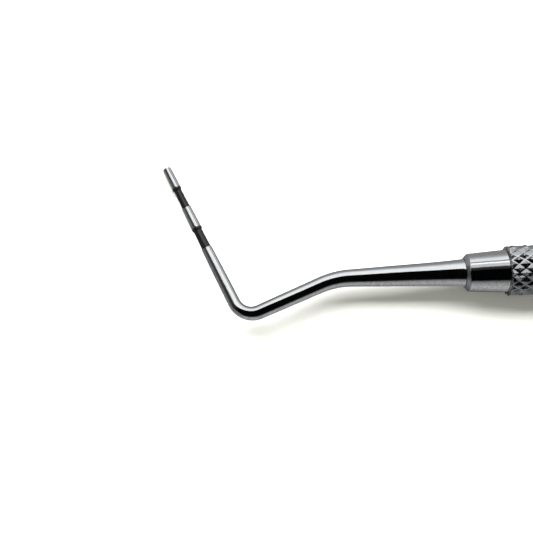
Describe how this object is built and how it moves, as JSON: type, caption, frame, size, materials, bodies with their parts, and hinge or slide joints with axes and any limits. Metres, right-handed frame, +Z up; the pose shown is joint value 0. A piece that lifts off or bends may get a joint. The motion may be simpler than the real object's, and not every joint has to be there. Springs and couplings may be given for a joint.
{
  "type": "periodontal probe",
  "caption": "Hand-held periodontal probe: a bent, banded measuring arm on a tapered shank, a collar and a knurled round handle.",
  "frame": {"origin": "centre of the flat rear end face, on the handle axis", "axes": "+X along the handle axis from the working end to the rear, +Z up from the surface it lies on, +Y to the side the tip points to"},
  "size_m": [0.165, 0.0206, 0.0066],
  "materials": {
    "working_end_steel": "polished",
    "collar_steel": "polished",
    "handle_steel": "satin",
    "band_black": "matte",
    "braze_alloy": "satin"
  },
  "bodies": {
    "root": {"probe_insert": "working_end_steel", "black_band_3_6": "band_black", "black_band_9_12": "band_black", "front_collar": "collar_steel", "tang_braze_sleeve": "braze_alloy", "front_braze_ring": "braze_alloy", "handle_tube": "handle_steel", "rear_braze_ring": "braze_alloy", "rear_plug": "collar_steel"}
  },
  "joints": []
}
